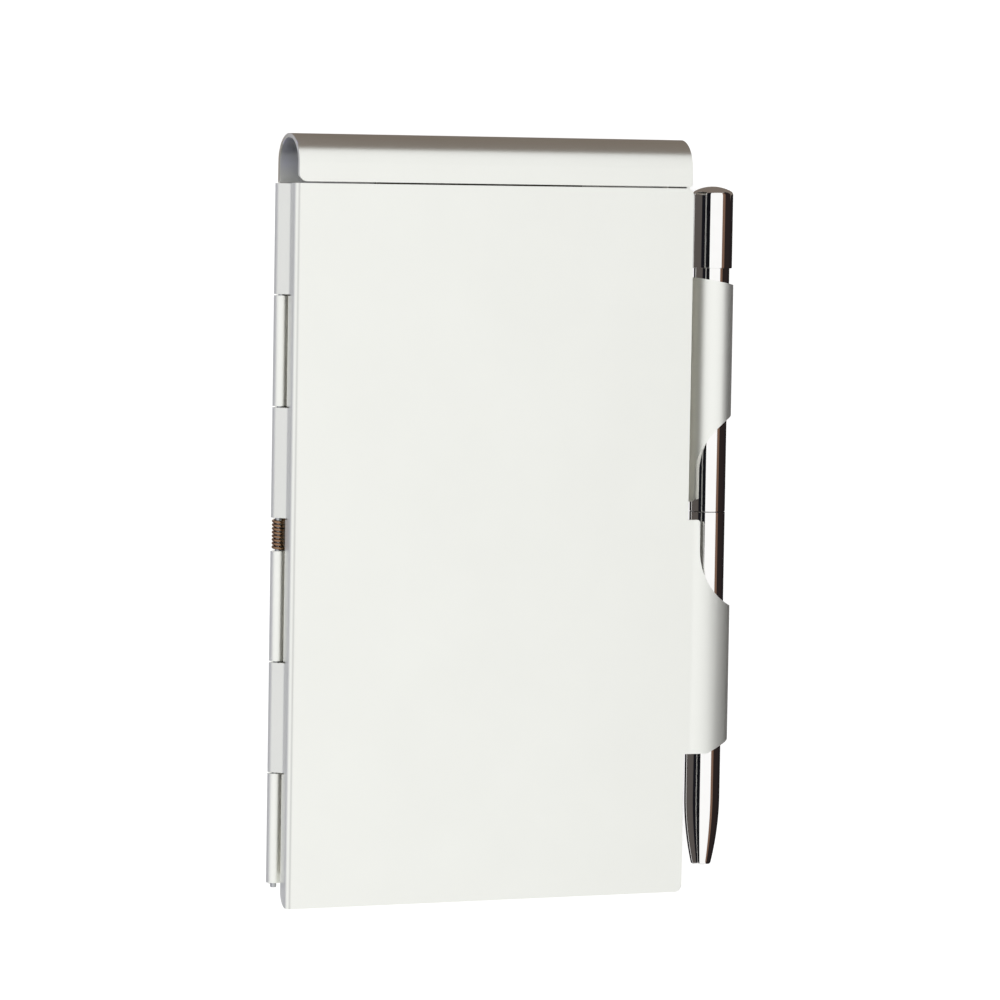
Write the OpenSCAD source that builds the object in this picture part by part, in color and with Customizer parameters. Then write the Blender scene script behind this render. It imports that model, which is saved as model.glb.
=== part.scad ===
// Metal notepad case with a sprung piano hinge, a rolled top edge and a twist pen in rolled loops.
// It lies on its back: X runs from the hinge to the pen, Y up the cover, Z from the back to the front.

/* [Case] */
// Height of the front cover, from its bottom edge to its top edge
cover_h = 127; // [110:1:150]
// Width of the front cover, from its side wall to its right edge
cover_w = 77; // [70:0.5:95]
// Thickness of the closed case, from the back plate to the front cover
case_t = 10; // [9.5:0.1:12]
// Thickness of the aluminium sheet
sheet_t = 0.7; // [0.5:0.05:0.8]
// Depth of the cover's side wall, from its front face
wall_depth = 2.85; // [2.4:0.05:3.2]
// Outer radius of the bend between the cover's face and its side wall
cover_bend_r = 1; // [0.9:0.05:1.4]
// Outer radius of the bends along the sides of the back plate
base_bend_r = 1.5; // [1:0.1:2]
// Height of the base's left wall between its hinge knuckles
low_wall_h = 3.2; // [2.4:0.1:3.3]
// How far the cover reaches past the bottom edge of the base
thumb_edge = 3.4; // [1:0.1:6]
// Plan radius at the corners of the cover
corner_r = 1.3; // [0.5:0.1:2]
// Free gap between sheet edges that pass each other
edge_gap = 0.3; // [0.2:0.05:0.4]

/* [Top roll] */
// Height of the roll's crown above the cover's top edge
roll_rise = 8.65; // [7.5:0.05:12]
// How far the roll's left end stays inside the cover's left face
roll_inset = 0.65; // [0.3:0.05:0.8]
// How far the roll's right end and the base's right wall stay inside the cover's right edge
side_inset = 0.35; // [0.3:0.05:0.8]
// Plan radius at the left corner of the roll's lip
lip_left_r = 1.5; // [0.5:0.1:2]
// Plan radius at the right corner of the roll's lip
lip_right_r = 0.4; // [0.3:0.1:2]
// How far the base's right wall reaches under the roll's lip
wall_tuck = 1; // [0.5:0.1:2]

/* [Hinge] */
// Distance of the hinge axis outside the cover's left face
hinge_out = 0.48; // [0.4:0.01:0.55]
// Height of the hinge axis above the back, a little over half the case's thickness
hinge_z = 5.1; // [5:0.05:5.3]
// Radius of the hinge pin
pin_r = 0.55; // [0.5:0.01:0.65]
// Radial running clearance of the pin in its knuckles
pin_clear = 0.05; // [0.03:0.01:0.08]
// Pairs of knuckles in the hinge, one of the cover and one of the base in each
knuckle_pairs = 3; // [2:1:5]
// Distance of the lowest knuckle from the bottom edge of the base
hinge_foot = 0.7; // [0.2:0.1:6]
// Gap between neighbouring knuckles
knuckle_gap = 0.25; // [0.2:0.05:0.5]
// Gap in the middle of the hinge, where the spring shows
spring_bay = 5.6; // [5.5:0.1:8]
// How far the pin's end shows below the lowest knuckle
pin_tail = 0.75; // [0.3:0.05:1.5]
// Angle that each knuckle's curl goes round the pin
curl_turn = 285; // [270:1:290]
// Centre line radius of the bend between the side wall and that flank
flank_bend_r = 1.2; // [1:0.05:1.3]

/* [Hinge spring] */
// Outer diameter of the coil
coil_d = 2.2; // [2.1:0.02:2.3]
// Diameter of the spring wire
wire_d = 0.22; // [0.16:0.01:0.23]
// Whole turns of the coil, to which half a turn is added between its two legs
coil_turns = 7; // [4:1:7]
// Radius of the bend in each leg
leg_bend_r = 0.45; // [0.3:0.05:0.5]
// Reach of each leg towards the back plate and towards the cover's face
leg_reach = 3.7; // [3:0.1:3.7]

/* [Pen loops] */
// Distance of the pen's axis from the cover's right edge
pen_out = 6; // [5.8:0.05:7]
// Depth of the pen's axis behind the front face
pen_depth = 4.5; // [4.4:0.05:4.6]
// Radial running clearance of the pen in the upper loop
loop_clear = 0.08; // [0.05:0.01:0.1]
// Bottom edge of the upper loop at its root
upper_loop_low = 70.4; // [70:0.1:75]
// Top edge of the upper loop at its root
upper_loop_high = 111; // [106:0.1:111]
// Angle that the upper loop turns round the pen, from the left over the front
upper_loop_turn = 250; // [200:1:255]
// Bottom edge of the lower loop
lower_loop_low = 25; // [20:0.1:30]
// Top edge of the lower loop at its root
lower_loop_high = 67.4; // [60:0.1:67.6]
// Radius of the sweep that narrows each loop, seen from the front
loop_sweep_r = 10.9; // [9:0.1:12]
// Where the sweep leaves the loop's root, measured from that root's edge
sweep_start = 5.5; // [4:0.1:8]
// Width of the lower loop's root before its sweep
loop_root_w = 2.4; // [2:0.1:2.6]
// Slope of the upper loop's top edge
upper_loop_fall = 10; // [0:1:14]
// Slope of the lower loop's bottom edge past its straight stretch
lower_loop_fall = 23; // [0:1:30]

/* [Notepad] */
// Gap between the base's left wall and the pad, where the spring's legs lie
pad_left_gap = 1.35; // [0.9:0.05:1.6]
// Gap between the pad and the base's right wall
pad_right_gap = 0.7; // [0.3:0.05:4]
// Height of the paper block
pad_h = 120; // [90:1:120]
// Thickness of the paper block
pad_t = 6; // [3:0.1:6]
// Thickness of the backing card
card_t = 0.8; // [0.4:0.05:1]
// Gap between the pad's top edge and the cover's top edge
pad_drop = 1.6; // [1:0.1:6]
// Width of the card's tongue, which reaches under the clip in the roll
tongue_w = 40; // [20:1:50]
// Length of that tongue beyond the paper block
tongue_l = 5; // [3:0.1:5]
// Thickness of the tape that binds the pad's top edge
tape_t = 0.2; // [0.1:0.05:0.3]
// Height of the tape on the face of the pad
tape_h = 8; // [4:0.5:15]
// Thickness of the clip's spring strip
clip_t = 0.3; // [0.2:0.05:0.4]
// Width of the clip's strip
clip_w = 2.6; // [2:0.1:2.8]
// Length of each foot of the clip
clip_foot = 6; // [4:0.5:10]
// Gap between stacked pieces of the pad and what they lie on
pad_gap = 0.1; // [0.05:0.05:0.2]

/* [Pen] */
// Radius of the pen's barrels
barrel_r = 3.2; // [3:0.05:3.3]
// Wall of the barrels
barrel_wall = 0.35; // [0.3:0.05:0.5]
// Radius of the pen's cap
cap_r = 3.65; // [3.6:0.05:4]
// Place of the cap's lower rim, from the cover's bottom edge
cap_low = 112.7; // [112:0.1:116]
// Length of the cap
cap_l = 14.7; // [12:0.1:18]
// Radius of the cap's domed end
dome_r = 7; // [5:0.1:15]
// Place of the joint between the barrels, from the cover's bottom edge
pen_joint = 68.65; // [68:0.05:70]
// Gap at that joint
joint_gap = 0.12; // [0.05:0.01:0.3]
// Place of the pen's nose end, from the cover's bottom edge
nose_low = 4.4; // [2:0.1:8]
// Length of the tapered nose
nose_l = 12.6; // [10:0.1:16]
// Radius of the nose's flat end
nose_end_r = 1.75; // [1.6:0.05:2]
// Radius of the hole in the nose
nose_hole_r = 1.1; // [1.05:0.05:1.2]
// Radius of the refill's tube
refill_r = 1.5; // [1.3:0.05:1.6]
// Length of the refill's thin neck, above its point
neck_l = 4; // [3.5:0.1:5]
// How far the refill's point stays behind the nose's end
tip_back = 1; // [0.5:0.1:1.5]
// Travel of the refill's point in half a turn
point_travel = 4; // [2:0.1:5]
// Length of the sleeve that joins the barrels
sleeve_l = 16; // [10:0.5:17]
// Length of the plunger that holds the refill
plunger_l = 10; // [8:0.5:12]

/* [Hidden] */
$fn = 96;

// Colours of the finishes
aluminium = "#dfe0dc";
chrome = "#c9c9cc";
spring_steel = "#8a5a3c";
steel = "#b4b6b8";
paper = "#f6f4ee";
card = "#b9a88c";
tape = "#3a3d42";
brass = "#c8a45c";
plastic = "#2c2d30";

// Angles of right triangles with whole sides, so that bent pieces of sheet meet without a crack
bend_a = atan2(3, 4);
lift_a = atan2(237, 3116);

// Hinge places
hinge_x = -hinge_out;
knuckle_ri = pin_r + pin_clear;
knuckle_r = knuckle_ri + sheet_t;
curl_r = knuckle_ri + sheet_t / 2;
base_wall_x = hinge_x + knuckle_ri;
hinge_low = thumb_edge + hinge_foot;
knuckle_pitch = (cover_h - hinge_low - spring_bay) / (2 * knuckle_pairs);
bay_top = cover_h - knuckle_pairs * knuckle_pitch;
bay_low = bay_top - spring_bay;
cover_rows = [0:2:2 * knuckle_pairs - 1];
base_rows = [1:2:2 * knuckle_pairs - 1];

// The cover's wall, the flank that leads from it to a knuckle and the bend between, on the centre line
wall_mid_x = sheet_t / 2;
flank_slope = 90 - bend_a;
flank_foot = [hinge_x - curl_r * sin(flank_slope), hinge_z + curl_r * cos(flank_slope)];
flank_meet_z = flank_foot[1] + (wall_mid_x - flank_foot[0]) * tan(flank_slope);
flank_tangent = flank_bend_r * tan(bend_a / 2);
flank_bend_z = flank_meet_z + flank_tangent;
flank_l = (wall_mid_x - flank_foot[0]) / cos(flank_slope) - flank_tangent;

// Base and roll
base_right = cover_w - side_inset;
base_low = thumb_edge;
roll_r = case_t / 2;
roll_y = cover_h + roll_rise - roll_r;
face_low_z = case_t - sheet_t;
right_wall_z = face_low_z - edge_gap;
walls_top = cover_h - edge_gap;
lip_low = cover_h + edge_gap;

// Pen and loops
pen_x = cover_w + pen_out;
pen_z = case_t - pen_depth;
loop_ri = barrel_r + loop_clear;
loop_r = loop_ri + sheet_t;
root_x = pen_x - loop_r;
root_bend_r = sheet_t + 0.5;
relief = 0.6;
loop_corner_r = 0.6;
// The lower loop: up a little, over the pen, then down beside it, as [length] or [centre line radius, angle]
hook_moves = [[0.8], [6, lift_a], [6, lift_a], [10.5, -bend_a], [3.4, -80]];

// Notepad
pad_x = base_wall_x + sheet_t + pad_left_gap;
pad_w = base_right - sheet_t - pad_right_gap - pad_x;
pad_high = cover_h - pad_drop;
pad_low = pad_high - pad_h;
card_z = sheet_t + pad_gap;
paper_z = card_z + card_t;
tongue_x = pad_x + (pad_w - tongue_w) / 2;
clip_low = lip_low;
clip_z = card_z + card_t + pad_gap;
clip_span = tongue_w + 1.4;

// Pen, from the cap down
seat_gap = 0.04;
end_step = 1;
cap_high = cap_low + cap_l;
cap_end_l = 2.4;
barrel_high = cap_high - cap_end_l;
bush_low = cap_low + end_step;
shell_ri = barrel_r - barrel_wall;
inner_r = shell_ri - 0.05;
sleeve_low = pen_joint - sleeve_l / 2;
sleeve_high = pen_joint + sleeve_l / 2;
sleeve_ri = refill_r + 0.3;
nose_high = nose_low + nose_l;
nose_hole_l = 2;
nose_taper_l = 2.5;
nose_bore_r = refill_r + 0.1;

// The twist cam, its plunger and the plunger's peg
cam_wall = 0.6;
plunger_gap = 0.05;
plunger_r = inner_r - cam_wall - plunger_gap;
cam_low = sleeve_high + end_step;
plunger_low = cam_low + point_travel;
grip_l = plunger_l * 0.35;
peg_y = plunger_low + plunger_l * 0.55;
peg_r = 0.5;
slot_gap = 0.1;
slot_steps = 8;
cam_high = plunger_low + plunger_l * 2;

// The refill, whose tube ends in the plunger's grip
point_r = 0.35;
point_l = 2;
neck_r = nose_hole_r - 0.15;
cone_l = 2.5;
tip_low = nose_low + tip_back;
tube_low = tip_low + point_l + neck_l + cone_l + end_step;
tube_high = plunger_low + grip_l;

// Centre of the last bend in a table of moves that starts at a place with a heading
function last_centre(p, h, moves, i = 0) =
    let (move = moves[i], along = [cos(h), sin(h)], left = [-sin(h), cos(h)])
    len(move) == 1 ? last_centre(p + move[0] * along, h, moves, i + 1)
    : let (side = sign(move[1]), c = p + side * move[0] * left, g = h + move[1])
      i == len(moves) - 1 ? c : last_centre(c - side * move[0] * [-sin(g), cos(g)], g, moves, i + 1);

hook_start = [cover_w, case_t - sheet_t / 2];
hook_end_r = hook_moves[len(hook_moves) - 1][0];
hook_right = last_centre(hook_start, 0, hook_moves)[0] + hook_end_r + sheet_t / 2;

// The whole part's box, whose middle in X and Y becomes the origin
left_x = hinge_x - knuckle_r;
right_x = max(pen_x + loop_r, hook_right);
mid_x = (left_x + right_x) / 2;
mid_y = (cover_h + roll_rise) / 2;

// Puts the origin under the middle of the part
module placed() {
    translate([-mid_x, -mid_y, 0]) children();
}

// Extrudes an outline drawn in X and Z along Y
module along_y(low, high) {
    translate([0, high, 0]) rotate([90, 0, 0]) linear_extrude(high - low) children();
}

// Extrudes an outline drawn in Y and Z along X
module along_x(low, high) {
    translate([low, 0, 0]) rotate([90, 0, 90]) linear_extrude(high - low) children();
}

// A ring sector from angle a to angle b
module ring_sector(r_in, r_out, a, b) {
    steps = 12;
    far = 100;
    intersection() {
        difference() {
            circle(r_out);
            circle(r_in);
        }
        polygon(concat([[0, 0]], [for (i = [0:steps])
            far * [cos(a + (b - a) * i / steps), sin(a + (b - a) * i / steps)]]));
    }
}

// A strip of sheet along X, bent as a table of moves says; each piece starts in the last one's end frame
module bent_strip(moves, i = 0) {
    move = moves[i];
    more = i < len(moves) - 1;
    if (len(move) == 1) {
        translate([0, -sheet_t / 2]) square([move[0], sheet_t]);
        if (more) translate([move[0], 0]) bent_strip(moves, i + 1);
    } else {
        side = sign(move[1]);
        translate([0, side * move[0]]) {
            ring_sector(move[0] - sheet_t / 2, move[0] + sheet_t / 2, -side * 90, move[1] - side * 90);
            if (more) rotate(move[1]) translate([0, -side * move[0]]) bent_strip(moves, i + 1);
        }
    }
}

// What is cut from a corner to make it round; turn 0 is a lower left corner, 90 a lower right one
module corner_cut(x, y, r, turn) {
    translate([x, y]) rotate(turn) difference() {
        translate([-1, -1]) square(r + 1);
        translate([r, r]) circle(r);
    }
}

// Top of a row, counted from the top of the hinge, with its share of the gaps
function knuckle_top(i) = cover_h - i * knuckle_pitch - (i < knuckle_pairs ? 0 : spring_bay);

module knuckle_rows(rows) {
    for (i = rows) along_y(knuckle_top(i) - knuckle_pitch + knuckle_gap / 2, knuckle_top(i) - knuckle_gap / 2)
        children();
}

// The base's left wall up to the hinge axis and the curl it ends in
module base_knuckle_outline() {
    translate([base_wall_x, base_bend_r]) square([sheet_t, hinge_z - base_bend_r]);
    translate([hinge_x, hinge_z]) ring_sector(knuckle_ri, knuckle_r, 0, curl_turn);
}

// The cover's side wall, the flank out of it and the curl it ends in
module cover_knuckle_outline() {
    translate([wall_mid_x, case_t - cover_bend_r]) rotate(-90)
        bent_strip([[case_t - cover_bend_r - flank_bend_z], [flank_bend_r, -bend_a], [flank_l],
                    [curl_r, curl_turn]]);
}

// The back plate with its left bend and low wall, and its right bend
module tray_outline(right) {
    flat_x = base_wall_x + base_bend_r;
    translate([flat_x, 0]) square([right - base_bend_r - flat_x, sheet_t]);
    translate([flat_x, base_bend_r]) ring_sector(base_bend_r - sheet_t, base_bend_r, 180, 270);
    translate([base_wall_x, base_bend_r]) square([sheet_t, low_wall_h - base_bend_r]);
    translate([right - base_bend_r, base_bend_r]) ring_sector(base_bend_r - sheet_t, base_bend_r, 270, 360);
}

module right_wall_outline() {
    translate([base_right - sheet_t, base_bend_r]) square([sheet_t, right_wall_z - base_bend_r]);
}

// The roll's section: back plate, half turn and front lip
module roll_outline() {
    translate([walls_top, 0]) square([roll_y - walls_top, sheet_t]);
    translate([roll_y, roll_r]) ring_sector(roll_r - sheet_t, roll_r, -90, 90);
    translate([lip_low, face_low_z]) square([roll_y - lip_low, sheet_t]);
}

module top_roll() {
    difference() {
        along_x(roll_inset, base_right) roll_outline();
        translate([0, 0, roll_r]) linear_extrude(case_t) {
            corner_cut(roll_inset, lip_low, lip_left_r, 0);
            corner_cut(base_right, lip_low, lip_right_r, 90);
        }
    }
}

// The upper loop's section: back plate, bend up beside the pen and turn round it
module upper_loop_outline() {
    flat_x = base_right - base_bend_r;
    bend_x = root_x + sheet_t - root_bend_r;
    translate([flat_x, 0]) square([bend_x - flat_x, sheet_t]);
    translate([bend_x, root_bend_r]) ring_sector(root_bend_r - sheet_t, root_bend_r, 270, 360);
    translate([root_x, root_bend_r]) square([sheet_t, pen_z - root_bend_r]);
    translate([pen_x, pen_z]) ring_sector(loop_ri, loop_r, 180 - upper_loop_turn, 180);
}

// What is cut from a loop that narrows from a root edge by a round sweep, seen from the front
module sweep_cut(x, edge_y, up) {
    far = loop_r * 4;
    start_y = edge_y + up * sweep_start;
    translate([x, min(edge_y - up * far, start_y)]) square([far, abs(start_y - edge_y + up * far)]);
    translate([x + loop_sweep_r, start_y]) circle(loop_sweep_r);
}

// What is cut above a sloping edge that starts at a place, or below it if side is negative
module slope_cut(x, y, angle, side) {
    far = loop_r * 6;
    translate([x, y]) rotate(angle) translate([0, side > 0 ? 0 : -far]) square([far, far]);
}

// Where the upper loop's sweep leaves its root and where it ends at the pen's right side
sweep_x = root_x + 0.45;
sweep_end_y = upper_loop_low + sweep_start
    + sqrt(pow(loop_sweep_r, 2) - pow(sweep_x + loop_sweep_r - pen_x - loop_r, 2));

module upper_loop() {
    difference() {
        along_y(upper_loop_low, upper_loop_high) upper_loop_outline();
        translate([0, 0, pen_z]) linear_extrude(case_t) {
            sweep_cut(sweep_x, upper_loop_low, 1);
            corner_cut(sweep_x, upper_loop_low, loop_corner_r, 90);
        }
        translate([pen_x, upper_loop_low - 1, -1])
            cube([loop_r + 1, sweep_end_y - upper_loop_low + 1, pen_z + 1]);
        translate([0, 0, -1]) linear_extrude(case_t + 2)
            slope_cut(root_x, upper_loop_high, -upper_loop_fall, 1);
    }
}

module base_shell() {
    color(aluminium) placed() {
        along_y(base_low, walls_top) tray_outline(base_right);
        knuckle_rows(base_rows) base_knuckle_outline();
        along_y(base_low, upper_loop_low - relief) right_wall_outline();
        along_y(upper_loop_high + relief, lip_low + wall_tuck) right_wall_outline();
        top_roll();
        upper_loop();
    }
}

// The lower loop, a tongue of the cover's sheet bent over the pen
module lower_loop() {
    edge_x = cover_w + loop_root_w;
    difference() {
        along_y(lower_loop_low, lower_loop_high) translate(hook_start) bent_strip(hook_moves);
        translate([0, 0, -1]) linear_extrude(case_t + 3) {
            sweep_cut(edge_x, lower_loop_high, -1);
            corner_cut(edge_x, lower_loop_high, loop_corner_r, 180);
            slope_cut(pen_x - 1.4, lower_loop_low, lower_loop_fall, -1);
        }
    }
}

module cover_face() {
    translate([0, 0, face_low_z]) linear_extrude(sheet_t) difference() {
        translate([cover_bend_r, 0]) square([cover_w - cover_bend_r, cover_h]);
        corner_cut(cover_w, 0, corner_r, 90);
        corner_cut(cover_w, cover_h, corner_r, 180);
    }
}

// The bend and the side wall, rounded at its bottom corner and notched where a knuckle leaves it
module cover_wall() {
    difference() {
        along_y(0, cover_h) {
            translate([cover_bend_r, case_t - cover_bend_r])
                ring_sector(cover_bend_r - sheet_t, cover_bend_r, 90, 180);
            translate([0, case_t - wall_depth]) square([sheet_t, wall_depth - cover_bend_r]);
        }
        along_x(-1, cover_bend_r + 1) corner_cut(0, case_t - wall_depth, wall_depth, 0);
        for (i = cover_rows) translate([-1, knuckle_top(i) - knuckle_pitch - knuckle_gap / 2, 0])
            cube([sheet_t + 2, knuckle_pitch + knuckle_gap, flank_bend_z]);
    }
}

module cover_shell() {
    color(aluminium) placed() {
        cover_face();
        cover_wall();
        knuckle_rows(cover_rows) cover_knuckle_outline();
        lower_loop();
    }
}

module hinge_pin() {
    color(steel) placed() along_y(hinge_low - pin_tail, cover_h - edge_gap)
        translate([hinge_x, hinge_z]) circle(pin_r);
}

// Hinge spring: a coil round the pin, with a leg along the wall of each half of the case
wire_sides = 6;
curl_rings = 8;
coil_r = (coil_d - wire_d) / 2;
coil_count = coil_turns + 0.5;
coil_low = bay_low + knuckle_gap + wire_d / 2;
coil_high = bay_top - knuckle_gap - wire_d / 2;
coil_step = (coil_high - coil_low) / coil_count;
leg_x = base_wall_x + sheet_t + 0.3;
bend_steps = 4;

// Points of one leg from the bend towards its end; side is -1 for the base's leg and 1 for the cover's
function leg_points(y, side) = concat(
    [for (i = [0:bend_steps]) let (a = 90 * i / bend_steps)
        [leg_x - leg_bend_r + leg_bend_r * sin(a), y,
         hinge_z + side * (coil_r + leg_bend_r - leg_bend_r * cos(a))]],
    [[leg_x, y, hinge_z + side * leg_reach]]);
function reversed(list) = [for (i = [len(list) - 1:-1:0]) list[i]];
coil_points = [for (i = [0:curl_rings * coil_count]) let (a = -90 - 360 * i / curl_rings)
    [hinge_x + coil_r * cos(a), coil_low + coil_step * i / curl_rings, hinge_z + coil_r * sin(a)]];
spring_points = concat(reversed(leg_points(coil_low, -1)), coil_points, leg_points(coil_high, 1));

function unit(v) = v / norm(v);
function tangent(points, i) =
    unit(points[min(i + 1, len(points) - 1)] - points[max(i - 1, 0)]);
function tube_ring(points, i, r, sides) =
    let (t = tangent(points, i), u = unit(cross([0, 1, 0], t)), v = cross(t, u))
    [for (k = [0:sides - 1]) points[i] + r * (cos(360 * k / sides) * u + sin(360 * k / sides) * v)];

// A tube with flat ends along a list of points
module tube(points, r, sides) {
    last = len(points) - 1;
    polyhedron(
        points = [for (i = [0:last]) each tube_ring(points, i, r, sides)],
        faces = concat(
            [for (i = [0:last - 1], k = [0:sides - 1]) let (m = (k + 1) % sides)
                each [[i * sides + k, (i + 1) * sides + k, (i + 1) * sides + m],
                      [i * sides + k, (i + 1) * sides + m, i * sides + m]]],
            [for (k = [1:sides - 2]) [0, k, k + 1]],
            [for (k = [1:sides - 2]) [last * sides, last * sides + k + 1, last * sides + k]]));
}

// The least gap between points of the wire that lie more than half a curl apart along it
function wire_gap() = min([for (i = [0:len(spring_points) - 1], j = [i + curl_rings / 2:1:len(spring_points) - 1])
    norm(spring_points[i] - spring_points[j]) - wire_d]);
echo(least_gap_between_the_spring_curls_mm = wire_gap());

module hinge_spring() {
    color(spring_steel) placed() tube(spring_points, wire_d / 2, wire_sides);
}

// The clip in the roll: a spring strip with two feet, bridging the card's tongue
module pad_clip() {
    mid = tongue_x + tongue_w / 2;
    rise_x = clip_span / 2;
    color(steel) placed() along_y(clip_low, clip_low + clip_w) {
        for (side = [-1, 1]) {
            outer = mid + side * (rise_x + clip_foot);
            inner = mid + side * rise_x;
            translate([min(outer, inner), sheet_t]) square([clip_foot, clip_t]);
            translate([min(inner, inner + side * clip_t), sheet_t])
                square([clip_t, clip_z + clip_t - sheet_t]);
        }
        translate([mid - rise_x, clip_z]) square([clip_span, clip_t]);
    }
}

module pad_card() {
    color(card) placed() translate([0, 0, card_z]) linear_extrude(card_t) {
        translate([pad_x, pad_low]) square([pad_w, pad_h]);
        translate([tongue_x, pad_high]) square([tongue_w, tongue_l]);
    }
}

module pad_paper() {
    color(paper) placed() translate([pad_x, pad_low, paper_z]) cube([pad_w, pad_h - tape_t, pad_t]);
}

// The tape folded over the top edge of the paper
module pad_binding() {
    color(tape) placed() along_x(pad_x, pad_x + pad_w) {
        translate([pad_high - tape_t, paper_z]) square([tape_t, pad_t + tape_t]);
        translate([pad_high - tape_h, paper_z + pad_t]) square([tape_h, tape_t]);
    }
}

// Turns an outline drawn as radius and height round the pen's axis, with height along Y
module turned() {
    placed() translate([pen_x, 0, pen_z]) rotate([-90, 0, 0]) rotate_extrude() children();
}

// The cap: a straight skirt over the barrel's end, a round shoulder and a low dome tangent to it
module pen_cap() {
    shoulder_r = 0.8;
    dome_y = cap_high - dome_r;
    shoulder_x = cap_r - shoulder_r;
    shoulder_y = dome_y + sqrt(pow(dome_r - shoulder_r, 2) - pow(shoulder_x, 2));
    color(chrome) turned() difference() {
        union() {
            translate([0, cap_low]) square([cap_r, shoulder_y - cap_low]);
            translate([shoulder_x, shoulder_y]) circle(shoulder_r);
            intersection() {
                translate([0, dome_y]) circle(dome_r, $fn = 360);
                translate([0, cap_low]) square([shoulder_x * dome_r / (dome_r - shoulder_r), cap_l]);
            }
        }
        square([barrel_r + seat_gap, barrel_high + seat_gap]);
    }
}

module pen_upper_barrel() {
    color(chrome) turned() translate([shell_ri, pen_joint + joint_gap / 2])
        square([barrel_wall, barrel_high - pen_joint - joint_gap / 2]);
}

// The bush that the cap is pressed on, inside the barrel's end
module pen_cap_bush() {
    color(plastic) turned() translate([0, bush_low]) square([inner_r, barrel_high - bush_low]);
}

// The lower barrel: a tube that ends in an ogive nose with a flat end and a hole
module pen_lower_barrel() {
    // The ogive is an arc that leaves the barrel's side straight
    fall = barrel_r - nose_end_r;
    ogive_r = (nose_l * nose_l + fall * fall) / (2 * fall);
    seat_low = nose_low + nose_hole_l;
    color(chrome) turned() difference() {
        union() {
            translate([0, nose_high]) square([barrel_r, pen_joint - joint_gap / 2 - nose_high]);
            intersection() {
                translate([0, nose_low]) square([barrel_r, nose_l]);
                translate([barrel_r - ogive_r, nose_high]) circle(ogive_r, $fn = 360);
            }
        }
        translate([0, nose_high]) square([shell_ri, cover_h]);
        polygon([[0, seat_low], [nose_hole_r, seat_low], [nose_bore_r, seat_low + nose_taper_l],
                 [nose_bore_r, nose_high + end_step], [0, nose_high + end_step]]);
        square([nose_hole_r, seat_low + nose_taper_l / 2]);
    }
}

// The sleeve that joins the barrels: fast in the lower one, turning in the upper one
module pen_joint_sleeve() {
    color(brass) turned() translate([sleeve_ri, sleeve_low]) square([inner_r - sleeve_ri, sleeve_l]);
}

// One place along the cam's slot, which drops by the point's travel in half a turn
module slot_hole(part) {
    translate([pen_x, peg_y - point_travel * part, pen_z]) rotate([0, 90 + 180 * part, 0])
        translate([0, 0, plunger_r - cam_wall / 2]) cylinder(h = cam_wall * 2, r = peg_r + slot_gap, $fn = 16);
}

// The twist cam: a tube in the upper barrel with a helical slot for the plunger's peg
module pen_cam_sleeve() {
    color(plastic) difference() {
        turned() translate([inner_r - cam_wall, cam_low]) square([cam_wall, cam_high - cam_low]);
        placed() for (i = [0:slot_steps - 1]) hull() {
            slot_hole(i / slot_steps);
            slot_hole((i + 1) / slot_steps);
        }
    }
}

// The plunger that grips the refill's end, with the peg that runs in the slot
module pen_cam_plunger() {
    color(plastic) {
        turned() difference() {
            translate([0, plunger_low]) square([plunger_r, plunger_l]);
            square([refill_r + seat_gap, tube_high + seat_gap]);
        }
        placed() translate([pen_x, peg_y, pen_z]) rotate([0, 90, 0])
            cylinder(h = plunger_r + plunger_gap + cam_wall / 2, r = peg_r, $fn = 32);
    }
}

module pen_refill_tube() {
    color(plastic) turned() translate([0, tube_low]) square([refill_r, tube_high - tube_low]);
}

// The refill's metal end: a fine point, a straight neck and a cone up to the tube
module pen_refill_tip() {
    neck_low = tip_low + point_l;
    neck_high = neck_low + neck_l;
    color(brass) turned() polygon([[0, tip_low], [point_r, tip_low], [point_r, tip_low + point_l / 3],
        [neck_r, neck_low], [neck_r, neck_high], [refill_r, neck_high + cone_l], [refill_r, tube_low],
        [0, tube_low]]);
}

base_shell();
cover_shell();
hinge_pin();
hinge_spring();
pad_clip();
pad_card();
pad_paper();
pad_binding();
pen_cap();
pen_cap_bush();
pen_upper_barrel();
pen_cam_sleeve();
pen_cam_plunger();
pen_lower_barrel();
pen_joint_sleeve();
pen_refill_tube();
pen_refill_tip();
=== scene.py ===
"""Looks of a metal notepad case with a twist pen, built around its fixed CAD frame.

The case lies on its back: X runs from the hinge to the pen, Y up the cover, Z from the back to
the front. Sizes are in millimetres in case coordinates (X from the cover's left face, Y from its
bottom edge, Z from the back), and place() turns them into metres in the frame.
"""

import math

import bmesh
import bpy
import numpy as np
from mathutils import Matrix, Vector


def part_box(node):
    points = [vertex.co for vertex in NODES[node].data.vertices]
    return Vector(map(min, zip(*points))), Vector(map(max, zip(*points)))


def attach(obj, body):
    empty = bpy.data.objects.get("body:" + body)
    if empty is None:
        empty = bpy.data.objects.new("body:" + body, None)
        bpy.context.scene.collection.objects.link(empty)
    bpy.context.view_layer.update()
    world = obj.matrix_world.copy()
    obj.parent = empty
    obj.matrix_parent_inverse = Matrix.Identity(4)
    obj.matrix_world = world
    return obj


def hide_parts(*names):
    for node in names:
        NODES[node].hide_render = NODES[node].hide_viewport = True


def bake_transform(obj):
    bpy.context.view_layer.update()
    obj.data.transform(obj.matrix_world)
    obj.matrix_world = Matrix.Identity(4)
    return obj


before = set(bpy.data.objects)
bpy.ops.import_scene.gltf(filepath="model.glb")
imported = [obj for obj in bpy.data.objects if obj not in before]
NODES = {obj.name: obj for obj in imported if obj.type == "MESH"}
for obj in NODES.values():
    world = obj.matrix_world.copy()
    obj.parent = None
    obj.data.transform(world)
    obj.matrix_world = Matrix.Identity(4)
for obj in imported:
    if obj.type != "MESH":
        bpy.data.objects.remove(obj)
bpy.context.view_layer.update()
MM = 0.001

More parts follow.
